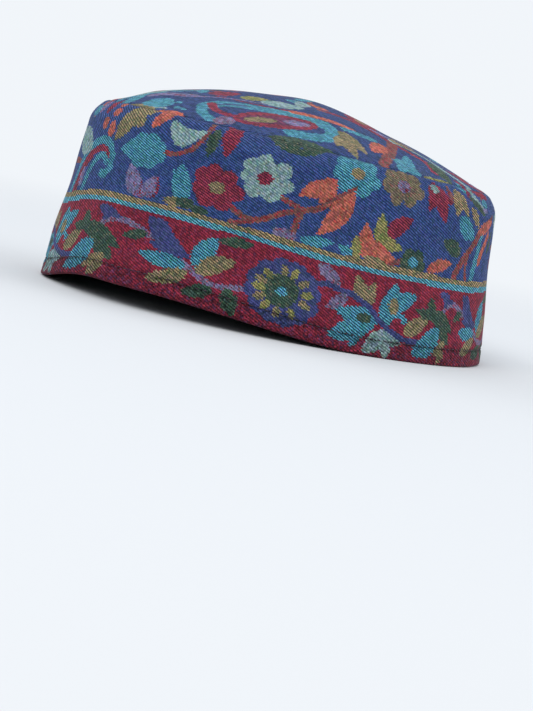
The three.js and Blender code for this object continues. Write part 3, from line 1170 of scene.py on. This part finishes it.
# Points of the panel and how far each is within the rim. The crown's form goes out to the seam,
# beyond which the edge turns down through a quarter circle, r (1 - cos), and on under the band.
# Slow waves end at the seam, and a ridge and puckers along it are bells of the distance.
def panelPoints(x, y):
    theta, r = np.arctan2(y, x), np.hypot(x, y)
    rim = ovalRadius(theta, form["lean"] + shoulderRound(theta) * (1 - np.cos(seamTurn(theta))))
    edge = rim - panel["seamGap"]
    over = np.clip(r - edge, 0, None)
    turn = np.clip(over / panel["tuckRound"], 0, np.pi / 2)
    down = np.clip(over - panel["tuckRound"] * np.pi / 2, 0, None)
    point = crownPoint(theta, np.minimum(r, edge) / rim, 0)
    out = np.sin(turn) * panel["tuckOut"]
    point[..., 0] += out * np.cos(theta)
    point[..., 1] += out * np.sin(theta)
    point[..., 2] -= panel["tuckRound"] * (1 - np.cos(turn)) + down
    slow, pucker, ridge, within = panel["slow"], panel["pucker"], panel["ridge"], rim - r
    swell = ripple(slow, x, y) * smooth(within / slow["over"])
    sewn = ripple(pucker, theta * pucker["radius"], r) * bell(within, pucker["wide"])
    sewn = sewn + ridge["high"] * bell(within - ridge["within"], ridge["wide"])
    point[..., 2] += swell + sewn * (over <= 0)
    return point, within


# Each face has the yarn of its place in plan, stepped from row to row as on the band, with fine
# streaks of tone along the weave and a line of painted shade at the seam.
def dyeCrown(x, y, within):
    look, streaks = panel["look"], panel["look"]["streaks"]
    row = np.round(x / panel["step"]).astype(int)
    y = y + look["shift"] * (row % 2 - 0.5) + rng.normal(0, look["ragged"], len(x))
    yarn = weaveCrown(x + ripple(look["sway"], x, y), y)
    # Painted shade along the seam.
    tone = 1 - look["seamShadeDark"] * bell(within, look["seamShadeWide"])
    tone = tone + ripple(streaks, x * streaks["long"], y) + rng.normal(0, look["uneven"], len(x))
    blue = yarn == yarnNames.index("blue")
    return dyeFaces(yarn, tone * np.where(blue, look["ground"], look["motifs"]))


# The panel is a square grid in plan, less the squares that reach past its tucked edge.
def makeCrown():
    x = np.arange(-panel["halfWidth"], panel["halfWidth"], panel["step"])
    y = np.arange(-panel["halfLength"], panel["halfLength"], panel["step"])
    gridX, gridY = np.meshgrid(x, y)
    points, within = panelPoints(gridX, gridY)
    faces = gridFaces(len(y), len(x))
    faces = faces[(within.ravel()[faces] > -panel["tuckDown"]).all(1)]
    used, faces = np.unique(faces, return_inverse=True)
    faces = faces.reshape(-1, 4)
    px, py = gridX.ravel()[used], gridY.ravel()[used]
    near = within.ravel()[used]
    dye = dyeCrown(px[faces].mean(1), py[faces].mean(1), near[faces].mean(1))
    uvs = np.stack([py[faces], -px[faces]], -1) * uvScale
    bake = np.stack([px[faces], py[faces]], -1) / panel["bakeSide"] + 0.5
    piece = makeMesh("crown_cloth", points.reshape(-1, 3)[used], faces, cloth, uvs, bake, dye)
    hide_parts("crown_panel")
    return piece


crownPanel = makeCrown()
tell(crownPanel)

liner = {
    "columns": 288,
    "rows": 40,
    "reaches": 46,
    "setback": 1.0,  # above the hem's edge
    "wallTop": 73.0,
    "crowding": 1.1,  # over 1, rows lie closer together towards the hem
    "outerReach": 0.985,
    "depth": 2.5,
    "hemDepth": 3.1,
    "hemTop": 7.4,
    "hemOver": 3.0,
    "wall": {"deep": 0.25, "size": 16, "flat": 0.3, "seed": 31, "count": 6, "grows": 6},
    "crown": {"deep": 0.35, "size": 18, "seed": 33, "count": 6, "radius": 60},
    "rowCloth": 1.6,  # mm of cloth from row to row
}


# One ring of the lining on the wall. It lies deeper behind the turned hem, and its slack,
# deep (1 + waves), lies deeper still.
def liningWall(around, height):
    slack, hem = liner["wall"], liner["hemDepth"]
    cleared = smooth((height - liner["hemTop"]) / liner["hemOver"])
    loose = (slack["deep"] + ripple(slack, around, height)) * smooth(height / slack["grows"])
    depth = hem + (liner["depth"] - hem) * cleared + loose
    return bandPoint(around, np.minimum(height, seamHeight(around)), depth)


# One ring of the lining under the crown, slack in the same way; the last is the pole.
def liningCrown(theta, reach):
    slack = liner["crown"]
    along = slack["radius"] * reach
    loose = slack["deep"] + ripple(slack, theta * along, along) if reach > 0 else 0
    return crownPoint(theta, np.full_like(theta, reach), liner["depth"] + loose)


# The lining is a grid of rings, up the wall and in to the middle of the crown, facing inwards.
def makeLining():
    around = np.linspace(-hemLength / 2, hemLength / 2, liner["columns"] + 1)[:-1]
    theta = np.interp(around, hemArc, hemTheta)
    share = np.linspace(0, 1, liner["rows"]) ** liner["crowding"]
    heights = liner["setback"] + share * (liner["wallTop"] - liner["setback"])
    rings = [liningWall(around, height) for height in heights]
    rings += [liningCrown(theta, reach) for reach in np.linspace(liner["outerReach"], 0, liner["reaches"])]
    grid = np.stack(rings)
    grid = np.concatenate([grid, grid[:, :1]], 1)
    rows, columns = grid.shape[:2]
    faces = gridFaces(rows, columns)[:, ::-1]
    column, row = faces % columns, faces // columns
    uvs = np.stack([column / (columns - 1) * hemLength, row * liner["rowCloth"]], -1) * uvScale
    bake = np.stack([column / (columns - 1), row / (rows - 1)], -1)
    piece = makeMesh("lining_cloth", grid.reshape(-1, 3), faces, liningMaterial(), uvs, bake)
    weld(piece)
    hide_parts("lining")
    return piece


lining = makeLining()
tell(lining)

stitch = {
    "pitch": 3.2,
    "long": 2.1,
    "thick": 0.42,
    "taper": 0.8,
    "wander": 0.06,  # up and down from the stitch line
    "raise": 0.16,
    "dip": 0.45,  # of the ends into the cloth
    "sides": 6,
    "along": 6,
}


# Vectors of length 1: each over its own length.
def unit(vectors):
    return vectors / np.linalg.norm(vectors, axis=-1, keepdims=True)


# The faces of one stitch: quads round its sides and two that close each end.
def stitchFaces():
    sides, along = stitch["sides"], stitch["along"]
    i, j = np.meshgrid(np.arange(along - 1), np.arange(sides), indexing="ij")
    a = i * sides + j
    b = i * sides + (j + 1) % sides
    wall = np.stack([a, a + sides, b + sides, b], -1).reshape(-1, 4)
    cap = np.array([(0, k, k + 1, k + 2) for k in range(1, sides - 2, 2)])
    return np.vstack([wall, cap, cap[:, ::-1] + sides * (along - 1)])


# Each stitch is a thin spindle of radius thick/2 sqrt(1 - taper t^4), t from -1 to 1 along it,
# that dips into the cloth by dip t^4.
def makeStitches():
    count = int(hemLength / stitch["pitch"])
    centres = (np.arange(count) + 0.5) * hemLength / count - hemLength / 2
    t = np.linspace(-1, 1, stitch["along"])
    around = np.linspace(0, 2 * np.pi, stitch["sides"] + 1)[:-1]
    u = centres[:, None] + t[None, :] * stitch["long"] / 2
    v = band["stitchLine"] + rng.normal(0, stitch["wander"], count)[:, None] + 0 * u
    sunk = bandRelief(u, v) - stitch["raise"] + stitch["dip"] * t**4
    axis = bandPoint(u, v, sunk)
    out = unit(bandPoint(u, v, sunk - 1) - axis)
    upward = unit(bandPoint(u, v + 1, sunk) - axis)
    radius = stitch["thick"] / 2 * np.sqrt(1 - stitch["taper"] * t**4)[None, :, None, None]
    ring = np.cos(around)[:, None] * out[:, :, None] + np.sin(around)[:, None] * upward[:, :, None]
    points = axis[:, :, None] + radius * ring
    first = np.arange(count)[:, None, None] * stitch["sides"] * stitch["along"]
    faces = (first + stitchFaces()).reshape(-1, 4)
    piece = makeMesh("hem_stitches", points.reshape(-1, 3), faces, threadMaterial())
    return piece


stitches = makeStitches()
tell(stitches)

# The studio, in metres: a pale floor that fades into a bright backdrop.
studio = {
    "backdrop": (0.90, 0.935, 0.975),
    "strength": 0.98,
    "floor": (0.535, 0.553, 0.575),
    "floorSurface": {"Roughness": 0.9, "Specular_IOR_Level": 0.1},
    "fade": (0.25, 0.9),
    "size": 6.0,
    "aim": (0, 0, 0.05),
}

# Soft lights: where they hang, size, power and tint. All of them face the cap.
lights = {
    "key": ((0.75, -1.1, 1.25), 1.1, 14, (1.0, 0.985, 0.96)),
    "fill": ((1.05, 1.2, 0.7), 1.2, 6.8, (1.0, 0.98, 0.98)),
    "top": ((-0.3, 0.2, 1.6), 1.4, 7, (1, 1, 1)),
    "left edge": ((-1.1, -1.07, 0.55), 1.0, 5, (1, 1, 1)),
    "right edge": ((0.35, 1.5, 0.55), 1.0, 5, (1, 0.98, 0.96)),
}


# The floor's own surface gives way to a glow of the backdrop's colour with distance.
def floorMaterial():
    n = Nodes("pale floor")
    where = n.new("ShaderNodeTexCoord")
    far = n.new("ShaderNodeVectorMath", Vector=where.outputs["Object"])
    far.operation = "LENGTH"
    n.principled(Base_Color=(*studio["floor"], 1), **studio["floorSurface"])
    glow = n.new("ShaderNodeEmission", Color=(*studio["backdrop"], 1), Strength=studio["strength"])
    blend = n.new("ShaderNodeMixShader")
    n.set(blend.inputs[0], n.spread(far.outputs["Value"], *studio["fade"]))
    n.set(blend.inputs[1], n.surface.outputs[0])
    n.set(blend.inputs[2], glow.outputs[0])
    n.set(n.out.inputs[0], blend.outputs[0])
    return n.material


# A square floor, and a sky of the backdrop's colour.
def makeStage():
    size = studio["size"]
    corners = [(-size, -size, 0), (size, -size, 0), (size, size, 0), (-size, size, 0)]
    mesh = bpy.data.meshes.new("floor")
    mesh.from_pydata(corners, [], [(0, 1, 2, 3)])
    mesh.materials.append(floorMaterial())
    floor = bpy.data.objects.new("floor", mesh)
    bpy.context.scene.collection.objects.link(floor)
    world = bpy.data.worlds.new("studio")
    world.use_nodes = True
    sky = world.node_tree.nodes["Background"]
    sky.inputs[0].default_value = (*studio["backdrop"], 1)
    sky.inputs[1].default_value = studio["strength"]
    bpy.context.scene.world = world


# A round soft light, turned to face the aim.
def softLight(name, place, size, power, tint):
    lamp = bpy.data.lights.new(name, "AREA")
    lamp.shape = "DISK"
    lamp.size, lamp.energy, lamp.color = size, power, tint
    light = bpy.data.objects.new(name, lamp)
    bpy.context.scene.collection.objects.link(light)
    light.location = place
    light.rotation_mode = "QUATERNION"
    light.rotation_quaternion = (Vector(studio["aim"]) - Vector(place)).to_track_quat("-Z", "Y")


# The camera looks back along its azimuth and elevation, is rolled, then turned so that the
# target falls on its pixel.
def makeCamera():
    c = cameraFit
    az, el, roll = (math.radians(c[k]) for k in ("azimuth", "elevation", "roll"))
    back = Vector((math.sin(az) * math.cos(el), -math.cos(az) * math.cos(el), math.sin(el)))
    right = (-back).cross(Vector((0, 0, 1))).normalized()
    up = right.cross(-back)
    rolledRight = right * math.cos(roll) + up * math.sin(roll)
    rolledUp = up * math.cos(roll) - right * math.sin(roll)
    pixelX, pixelY = c["targetPixel"]
    toTarget = Vector((pixelX - c["width"] / 2, c["height"] / 2 - pixelY, -c["focal"]))
    turn = Vector((0, 0, -1)).rotation_difference(toTarget.normalized()).to_matrix()
    axes = turn @ Matrix((rolledRight, rolledUp, back))
    camera = bpy.data.objects.new("camera", bpy.data.cameras.new("camera"))
    bpy.context.scene.collection.objects.link(camera)
    place = (Vector(c["target"]) + back * c["distance"]) * mm
    camera.matrix_world = Matrix.Translation(place) @ axes.transposed().to_4x4()
    camera.data.sensor_width = c["sensor"]
    camera.data.lens = c["focal"] * c["sensor"] / c["height"]
    camera.data.clip_start, camera.data.clip_end = c["clip"]
    bpy.context.scene.camera = camera


makeStage()
for name, light in lights.items():
    softLight(name, *light)
makeCamera()
bpy.context.scene.view_settings.view_transform = "Standard"
print("stage and camera")
